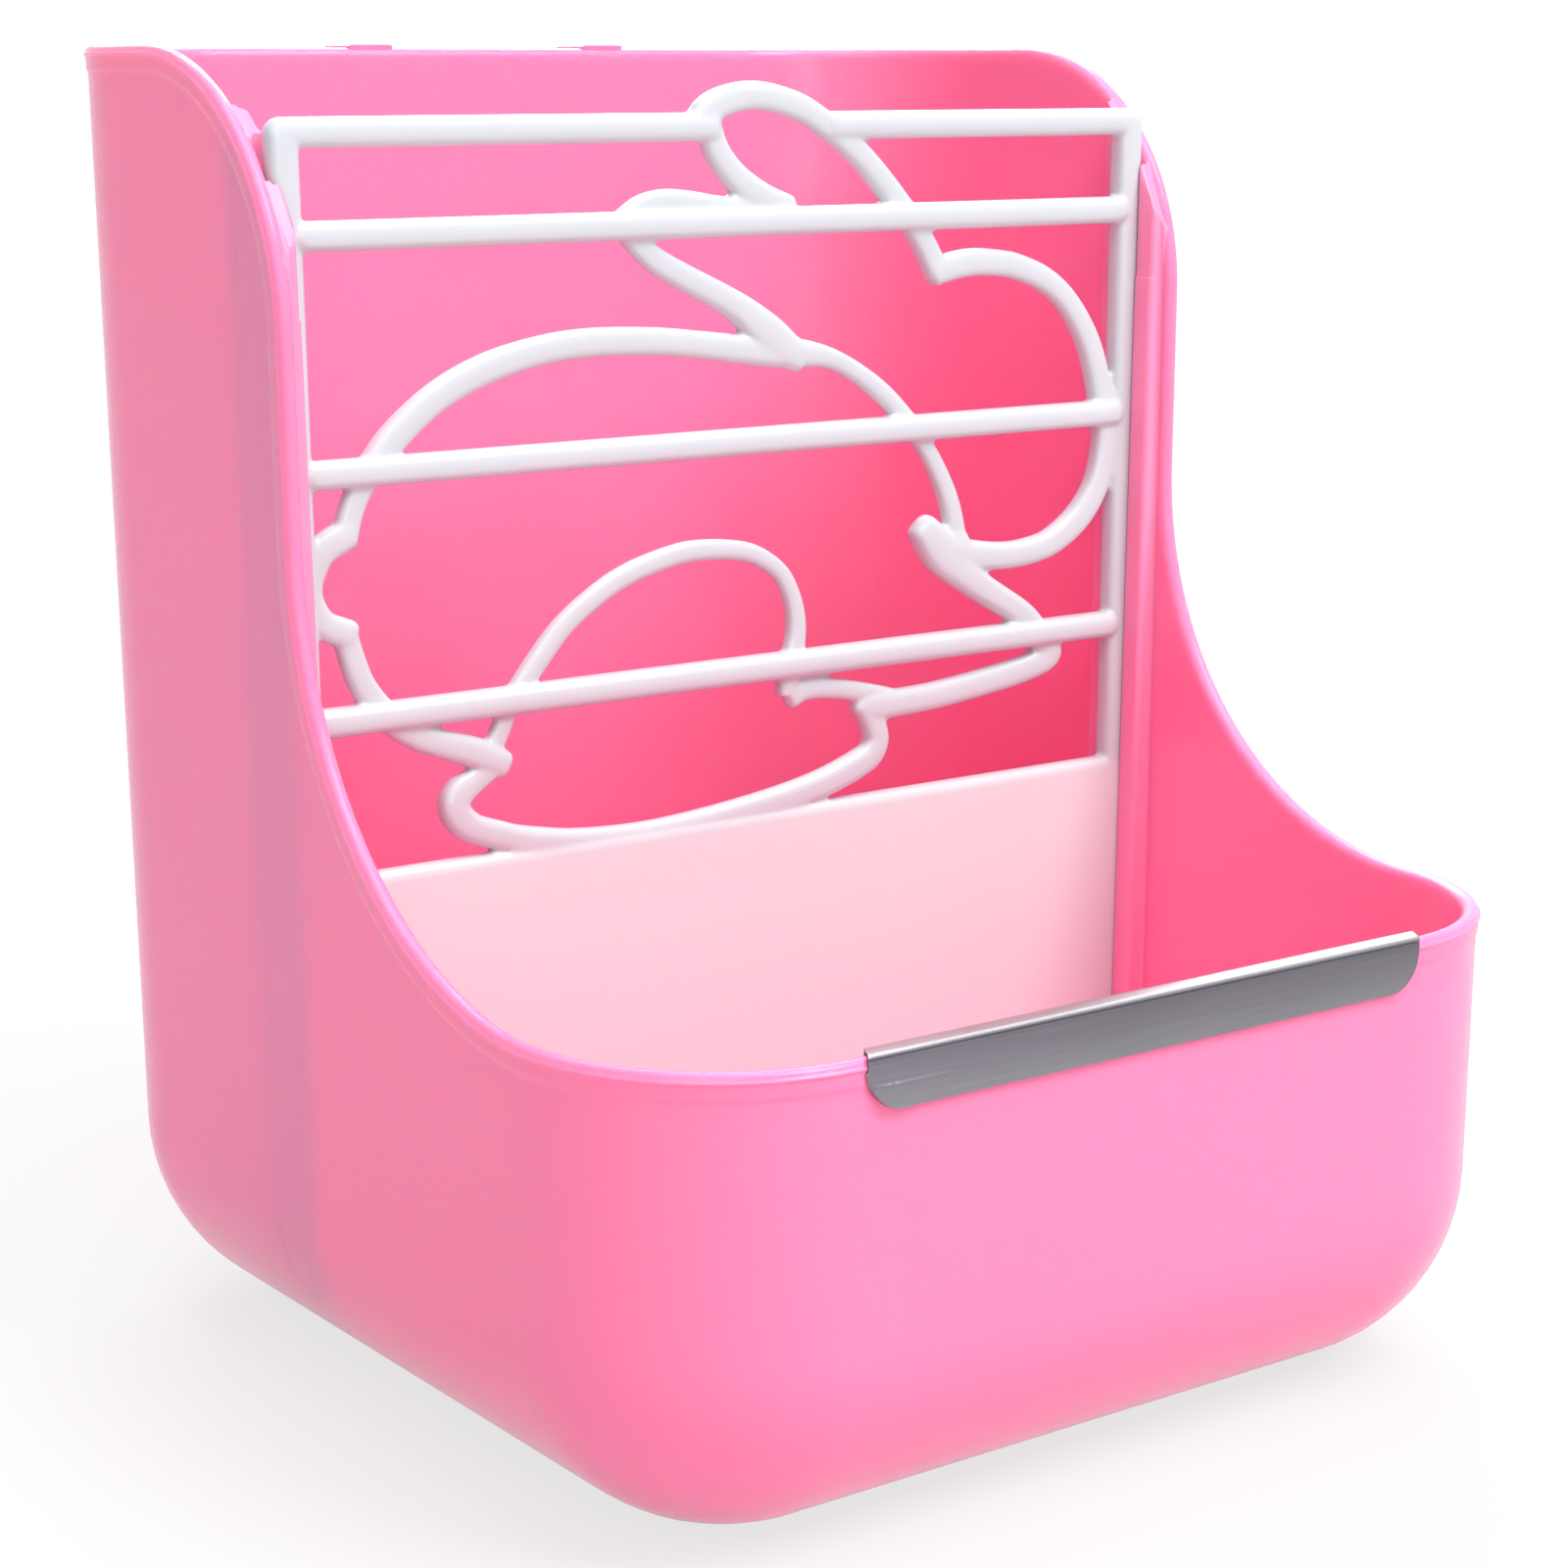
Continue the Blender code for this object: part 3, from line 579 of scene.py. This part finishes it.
def half_frame(bm, side, end):
    """An upright, its rounded top corner and its part of the top bar, as one bent bar."""
    post, bar, radius = UPRIGHT, TOP_BAR, FRAME_CORNER
    turn = Vector((side * (panel_half(TOP_BAR_HEIGHT) - post), TOP_BAR_HEIGHT - bar / 2))
    start = 60 * MM
    sections = []
    for i in range(12):
        z = start + (turn.y - start) * i / 12
        sections.append((Vector((side * (panel_half(z) - post / 2), z)), Vector((side, 0)), post))
    # The corner's sections fan out from the inner corner, to the outer sides and the arc between.
    for i in range(19):
        t = math.radians(90 * i / 18)
        out = Vector((math.cos(t), math.sin(t)))
        bend = Vector((post - radius, bar - radius))
        reach = out.dot(bend) + math.sqrt(max(out.dot(bend) ** 2 - bend.length_squared + radius ** 2, 0))
        if post * math.tan(t) < bar - radius:
            reach = post / out.x
        elif bar * out.x < (post - radius) * out.y:
            reach = bar / out.y
        out.x *= side
        sections.append((turn + out * reach / 2, out, reach))
    for i in range(1, 9):
        x = turn.x + (end - turn.x) * i / 8
        sections.append((Vector((x, TOP_BAR_HEIGHT)), Vector((0, 1)), bar))
    loft(bm, [section + (GRILLE_FRONT, GRILLE_REAR) for section in sections], 2.9)


def grille_solids():
    """All bars and the plate of the grille, still as separate solids that run into each other."""
    bm = bmesh.new()
    for name, points in RABBIT_BARS.items():
        rabbit_bar(bm, points, name in FREE_TIPS)
    # The top bar is interrupted where the ear's loop stands in it.
    half_frame(bm, -1, -4.5 * MM)
    half_frame(bm, 1, 14 * MM)
    for z, width in CROSS_BARS:
        end = panel_half(z) - 2.6 * MM
        right = [(end - inwards * MM, share * width, proud * MM) for inwards, share, proud in CROSS_BAR_END]
        left = [(-x, wide, proud) for x, wide, proud in right]
        level_bar(bm, z, left + right[::-1], 3.0)
    # The plate has a bar along its top, and its lower corners follow the tub's round foot.
    end = panel_half(PLATE_TOP) - 1.2 * MM
    level_bar(bm, PLATE_TOP - 2 * MM, [(-end, 4 * MM, 0), (end, 4 * MM, 0)], 3.4)
    radius = FOOT - WALL - GRILLE_PLAY
    foot = WALL + GRILLE_PLAY
    outline = arc(panel_half(WALL) - radius, foot + radius, radius, -90, 0, 16)
    top = 65 * MM
    outline.append((panel_half(top), top))
    outline += [(-x, z) for x, z in outline[::-1]]
    sides = (GRILLE_FRONT, GRILLE_FRONT + PLATE_SHEET)
    faces = [[bm.verts.new((x, y, z)) for x, z in outline] for y in sides]
    for i in range(len(outline)):
        j = (i + 1) % len(outline)
        bm.faces.new((faces[0][i], faces[0][j], faces[1][j], faces[1][i]))
    for ring in faces:
        bm.faces.new(ring)
    bmesh.ops.recalc_face_normals(bm, faces=bm.faces)
    return bm


def settle(obj, kinds):
    """Run modifiers on an object, one after the other, and keep the result as its mesh."""
    for kind, settings in kinds:
        modifier = obj.modifiers.new(kind.lower(), kind)
        for name, value in settings.items():
            setattr(modifier, name, value)
    bpy.context.view_layer.update()
    done = bpy.data.meshes.new_from_object(obj.evaluated_get(bpy.context.evaluated_depsgraph_get()))
    obj.modifiers.clear()
    old = obj.data
    obj.data = done
    bpy.data.meshes.remove(old)
    done.shade_smooth()


# Moulded white polypropylene. Left in its natural milky white, it lets light in a short way, so it
# looks soft, and it picks up the pink of the walls round it. The plate is painted a lighter, warmer
# white than the bars above it, a painted light of the pink bowl's bounce, and the bars a darker,
# cooler white, a painted shade.
white = bpy.data.materials.new("moulded_white_polypropylene")
white.use_nodes = True
tree = white.node_tree
skin = tree.nodes["Principled BSDF"]
place = add(tree, "ShaderNodeTexCoord")
cloud = add(tree, "ShaderNodeTexNoise", {"Vector": place.outputs["Object"], "Scale": 20, "Detail": 1})
# Painted shade and light: the bars get a darker, cooler white and the plate a lighter, warmer one.
bar_white_painted_shade = add(tree, "ShaderNodeMix", {"Factor": cloud.outputs["Fac"], 6: linear("#C5C9CF"),
                                   7: linear("#C9CDD2")}, data_type="RGBA")
plate_white_painted_light = add(tree, "ShaderNodeMix", {"Factor": cloud.outputs["Fac"], 6: linear("#D6D5D8"),
                                    7: linear("#DAD9DB")}, data_type="RGBA")
split = add(tree, "ShaderNodeSeparateXYZ", {"Vector": place.outputs["Object"]})
# The split between the bars' painted shade and the plate's painted light, at the plate's top.
painted_light_above_plate = add(tree, "ShaderNodeMapRange", {"Value": split.outputs["Z"], "From Min": PLATE_TOP - 3 * MM,
                                         "From Max": PLATE_TOP + 1 * MM}, interpolation_type="SMOOTHSTEP")
tint = add(tree, "ShaderNodeMix", {"Factor": painted_light_above_plate.outputs["Result"], 6: plate_white_painted_light.outputs[2],
                                   7: bar_white_painted_shade.outputs[2]}, data_type="RGBA")
tree.links.new(tint.outputs[2], skin.inputs["Base Color"])
skin.inputs["Subsurface Weight"].default_value = 0.2
skin.inputs["Subsurface Radius"].default_value = (1.0, 0.8, 0.75)
skin.inputs["Subsurface Scale"].default_value = 1.2 * MM
gloss = add(tree, "ShaderNodeTexNoise", {"Vector": place.outputs["Object"], "Scale": 50, "Detail": 1})
rough = add(tree, "ShaderNodeMapRange", {"Value": gloss.outputs["Fac"], "To Min": 0.19, "To Max": 0.24})
tree.links.new(rough.outputs["Result"], skin.inputs["Roughness"])
peel = add(tree, "ShaderNodeTexNoise", {"Vector": place.outputs["Object"], "Scale": 500, "Detail": 1})
bump = add(tree, "ShaderNodeBump", {"Height": peel.outputs["Fac"], "Strength": 0.1, "Distance": 0.01 * MM})
tree.links.new(bump.outputs["Normal"], skin.inputs["Normal"])
skin.inputs["IOR"].default_value = 1.49

grille = piece("rabbit_grille", grille_solids(), white)
settle(grille, [("REMESH", {"mode": "VOXEL", "voxel_size": VOXEL}),
                ("SMOOTH", {"factor": 0.5, "iterations": 3}),
                ("DECIMATE", {"ratio": 0.5})])
grille.data.materials.clear()
grille.data.materials.append(white)
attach(grille, "grille")
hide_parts("hay_grille")


# The chew guard. A strip of thin brushed stainless steel, folded over the middle of the bowl's rim
# and pressed on by hand, so its outer flange has a crease and some small dents.

GUARD_HALF = 42 * MM
GUARD_SHEET = 0.3 * MM
GUARD_FLANGE = 6.1 * MM
GUARD_LIP = 3.2 * MM
GUARD_CORNER = 4.8 * MM
GUARD_SKEW = 1.6 * MM
GUARD_OUTSIDE = 0.62 * MM
GUARD_INSIDE = 0.36 * MM
FOLD_RISE = 0.46
# The groove under the fold, in mm out from the flange and up from the rim.
GUARD_GROOVE = [(0, -0.5), (-0.03, -0.36), (-0.1, -0.26), (-0.12, -0.16), (-0.08, -0.06), (-0.02, 0.0)]


def guard_swell(x, z):
    """How far out the flange stands at x and z, in mm, z up from the rim: crease, curl and dents."""

    def ramp(start, end):
        t = min(max((x - start) / (end - start), 0), 1)
        return t * t * (3 - 2 * t)

    out = 0.2 * max(0, 1 - abs(z + 3.25) / 0.26) * ramp(-29.5, -31.5)
    out += 0.05 * max(0, 1 - abs(z + 2.6) / 0.3) * ramp(-14, -22) * (1 - ramp(-25, -29))
    out += 0.55 * ramp(-33, -42) * min(max((-2.9 - z) / 3.2, 0), 1) ** 1.4
    out += 0.045 * noise.noise(Vector((x * 0.09, z * 0.25, 3.7)))
    dents = ramp(26, 29) * (1 - ramp(34, 37)) * min(max((-3.6 - z) / 1.2, 0), 1)
    return out + 0.2 * dents * noise.noise(Vector((x * 0.85, z * 0.9, 8.1)))


def guard_column(x, foot):
    """The sheet's outer skin at x: up the flange from its foot, over the rim and down the lip.

    The strip was cut a little askew, so the lip lies further to the right than the flange.
    """
    outer = TUB_FRONT - GUARD_OUTSIDE
    inner = TUB_FRONT + WALL + GUARD_INSIDE
    middle, radius = (outer + inner) / 2, (inner - outer) / 2
    start = BOWL_RIM + GUARD_GROOVE[0][1] * MM
    column = []
    for i in range(30):
        z = foot + (start - foot) * i / 30
        out = guard_swell(x / MM, (z - BOWL_RIM) / MM) * min(1, (start - z) / (0.5 * MM))
        column.append((x, outer - out * MM, z))
    for out, up in GUARD_GROOVE:
        column.append((x, outer - out * MM, BOWL_RIM + up * MM))
    for i in range(17):
        t = math.pi * (1 - i / 16)
        across = math.copysign(abs(math.cos(t)) ** 0.4, math.cos(t))
        shift = GUARD_SKEW * (across + 1) / 2
        rise = 0.02 + FOLD_RISE * math.sin(t) ** 0.5
        column.append((x + shift, middle + radius * across, BOWL_RIM + rise * MM))
    for i in range(1, 5):
        column.append((x + GUARD_SKEW, inner, BOWL_RIM - GUARD_LIP * i / 4))
    return column


def make_guard():
    """The sheet's outer skin, with rounded lower corners."""
    bm = bmesh.new()
    columns = []
    for i in range(241):
        x = -GUARD_HALF + 2 * GUARD_HALF * i / 240
        near_end = max(GUARD_CORNER - (GUARD_HALF - abs(x)), 0)
        lift = min(GUARD_CORNER - math.sqrt(GUARD_CORNER ** 2 - near_end ** 2), GUARD_CORNER * 0.96)
        columns.append([bm.verts.new(p) for p in guard_column(x, BOWL_RIM - GUARD_FLANGE + lift)])
    for a, b in zip(columns, columns[1:]):
        for i in range(len(a) - 1):
            bm.faces.new((a[i], b[i], b[i + 1], a[i + 1]))
    bmesh.ops.recalc_face_normals(bm, faces=bm.faces)
    return bm


# Brushed stainless steel, number 4 finish: a belt grinds fine lines along the strip, which spread
# each reflection across them. The real lines are 0.05 mm apart, and are drawn at 0.25 mm to show.
# The grey is painted light and shade: it darkens up the flange to a painted dark line of shade in the
# groove under the fold, is painted lighter over the fold as a highlight, and lighter towards the left.
steel = bpy.data.materials.new("brushed_stainless_steel")
steel.use_nodes = True
tree = steel.node_tree
skin = tree.nodes["Principled BSDF"]
skin.inputs["Metallic"].default_value = 1.0
place = add(tree, "ShaderNodeTexCoord")
along = add(tree, "ShaderNodeMapping", {"Vector": place.outputs["Object"], "Scale": (0.02, 1, 1)})
lines = add(tree, "ShaderNodeTexNoise", {"Vector": along.outputs["Vector"], "Scale": 4000, "Detail": 3})
split = add(tree, "ShaderNodeSeparateXYZ", {"Vector": place.outputs["Object"]})
height = add(tree, "ShaderNodeMapRange", {"Value": split.outputs["Z"], "From Min": BOWL_RIM - GUARD_FLANGE,
                                          "From Max": BOWL_RIM + 0.5 * MM})
# Painted shade and highlight by height: darker up the flange, a dark line of shade in the groove under the
# fold, lighter over the fold.
painted_light_ramp = add(tree, "ShaderNodeValToRGB", {"Fac": height.outputs["Result"]})
painted_light_stops = painted_light_ramp.color_ramp.elements
painted_light_stops[0].position, painted_light_stops[0].color = 0, linear("#918F96")
painted_light_stops[1].position, painted_light_stops[1].color = 1, linear("#A2A1A5")
for position, code in ((0.45, "#86828A"), (0.8, "#7C7880"), (0.86, "#76727A"), (0.905, "#5E5A62"),
                       (0.94, "#8E8C92")):
    painted_light_stops.new(position).color = linear(code)
# Painted light: the grey is made lighter towards the left end of the strip.
painted_light_to_left = add(tree, "ShaderNodeMapRange", {"Value": split.outputs["X"], "From Min": -5 * MM,
                                             "From Max": -GUARD_HALF, "To Max": 0.16})
grain_and_painted_light = add(tree, "ShaderNodeMapRange", {"Value": lines.outputs["Fac"], "To Min": 0.82, "To Max": 1.12})
grain_and_painted_light = add(tree, "ShaderNodeMath", {0: grain_and_painted_light.outputs["Result"], 1: painted_light_to_left.outputs["Result"]},
            operation="ADD")
tint = add(tree, "ShaderNodeVectorMath", {0: painted_light_ramp.outputs["Color"], 3: grain_and_painted_light.outputs[0]}, operation="SCALE")
tree.links.new(tint.outputs["Vector"], skin.inputs["Base Color"])
rough = add(tree, "ShaderNodeMapRange", {"Value": lines.outputs["Fac"], "To Min": 0.28, "To Max": 0.42})
tree.links.new(rough.outputs["Result"], skin.inputs["Roughness"])
bump = add(tree, "ShaderNodeBump", {"Height": lines.outputs["Fac"], "Strength": 0.2, "Distance": 0.01 * MM})
tree.links.new(bump.outputs["Normal"], skin.inputs["Normal"])

guard = piece("chew_guard", make_guard(), steel)
settle(guard, [("SOLIDIFY", {"thickness": GUARD_SHEET, "offset": -1.0}),
               ("BEVEL", {"width": 0.1 * MM, "segments": 2, "limit_method": "ANGLE",
                          "angle_limit": math.radians(50)})])
guard.data.set_sharp_from_angle(angle=math.radians(40))
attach(guard, "feeder")
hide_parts("rim_guard")


# The studio: a pale floor that keeps the shadow near the object and turns white further out, a
# white surround, and five big soft lamps. The camera stands where the photograph was taken, left
# of the bowl and a little above its rim.

FLOOR_RADIUS = 6
FEEDER_MIDDLE = (0, 0, 0.08)
CAMERA_PLACE = (-0.24853, -0.34555, 0.16329)
FOCAL_LENGTH = 76.14
YAW, PITCH, ROLL = math.radians(35.959), math.radians(12.082), math.radians(-0.143)

floor_bm = bmesh.new()
bmesh.ops.create_circle(floor_bm, cap_ends=True, radius=FLOOR_RADIUS, segments=96)
paper = bpy.data.materials.new("matt_white_paper")
paper.use_nodes = True
tree = paper.node_tree
base = tree.nodes["Principled BSDF"]
base.inputs["Base Color"].default_value = linear("#C8C6C7")
base.inputs["Roughness"].default_value = 0.9
base.inputs["Specular IOR Level"].default_value = 0.0
glow = add(tree, "ShaderNodeEmission", {"Color": (1, 1, 1, 1), "Strength": 1.0})
place = add(tree, "ShaderNodeTexCoord")
away = add(tree, "ShaderNodeVectorMath", {0: place.outputs["Object"]}, operation="LENGTH")
fade = add(tree, "ShaderNodeMapRange", {"Value": away.outputs["Value"], "From Min": 0.1, "From Max": 0.5,
                                        "To Min": 0.75, "To Max": 1.0}, interpolation_type="SMOOTHSTEP")
rays = add(tree, "ShaderNodeLightPath")
seen = add(tree, "ShaderNodeMath", {0: rays.outputs["Is Camera Ray"],
                                    1: rays.outputs["Is Glossy Ray"]}, operation="MAXIMUM")
share = add(tree, "ShaderNodeMath", {0: seen.outputs[0], 1: fade.outputs["Result"]}, operation="MULTIPLY")
mixed = add(tree, "ShaderNodeMixShader", {0: share.outputs[0], 1: base.outputs[0], 2: glow.outputs[0]})
tree.links.new(mixed.outputs[0], tree.nodes["Material Output"].inputs["Surface"])
floor = piece("studio_floor", floor_bm, paper)

# The surround is white to look at and in reflections, and lights the object at about a quarter.
world = bpy.data.worlds.new("studio")
scene.world = world
world.use_nodes = True
tree = world.node_tree
tree.nodes.clear()
rays = add(tree, "ShaderNodeLightPath")
first = add(tree, "ShaderNodeMath", {0: rays.outputs["Is Camera Ray"],
                                     1: rays.outputs["Is Glossy Ray"]}, operation="MAXIMUM")
seen = add(tree, "ShaderNodeMath", {0: first.outputs[0], 1: rays.outputs["Is Transmission Ray"]},
           operation="MAXIMUM")
level = add(tree, "ShaderNodeMapRange", {"Value": seen.outputs[0], "To Min": 0.27, "To Max": 1.0})
sky = add(tree, "ShaderNodeBackground", {"Color": (1, 1, 1, 1), "Strength": level.outputs["Result"]})
add(tree, "ShaderNodeOutputWorld", {"Surface": sky.outputs[0]})


def lamp(name, place, size, power):
    """A square soft lamp that faces the feeder: its place and size in metres, its power in watts."""
    data = bpy.data.lights.new(name, "AREA")
    data.shape = "SQUARE"
    data.size = size
    data.energy = power
    obj = bpy.data.objects.new(name, data)
    obj.location = place
    obj.rotation_mode = "QUATERNION"
    obj.rotation_quaternion = (Vector(FEEDER_MIDDLE) - Vector(place)).to_track_quat("-Z", "Y")
    scene.collection.objects.link(obj)


lamp("key_lamp", (0.60, -1.28, 1.77), 1, 36)
lamp("front_lamp", (-0.38, -2.13, 0.50), 0.8, 7)
lamp("fill_lamp", (-1.04, -1.16, 1.64), 1.2, 12)
lamp("top_lamp", (0.13, -0.36, 2.25), 1.6, 34)
lamp("back_lamp", (0.85, 1.50, 1.49), 1.6, 50)

ahead = Vector((math.sin(YAW) * math.cos(PITCH), math.cos(YAW) * math.cos(PITCH), -math.sin(PITCH)))
right = Vector((math.cos(YAW), -math.sin(YAW), 0))
up = right.cross(ahead)
turned_right = right * math.cos(ROLL) + up * math.sin(ROLL)
turned_up = up * math.cos(ROLL) - right * math.sin(ROLL)
lens = bpy.data.cameras.new("camera")
lens.lens = FOCAL_LENGTH
lens.sensor_width = 36
lens.clip_start, lens.clip_end = 0.01, 20
camera = bpy.data.objects.new("camera", lens)
turned = Matrix((turned_right, turned_up, -ahead)).transposed()
camera.matrix_world = Matrix.Translation(CAMERA_PLACE) @ turned.to_4x4()
scene.collection.objects.link(camera)
scene.camera = camera
scene.view_settings.view_transform = "Standard"
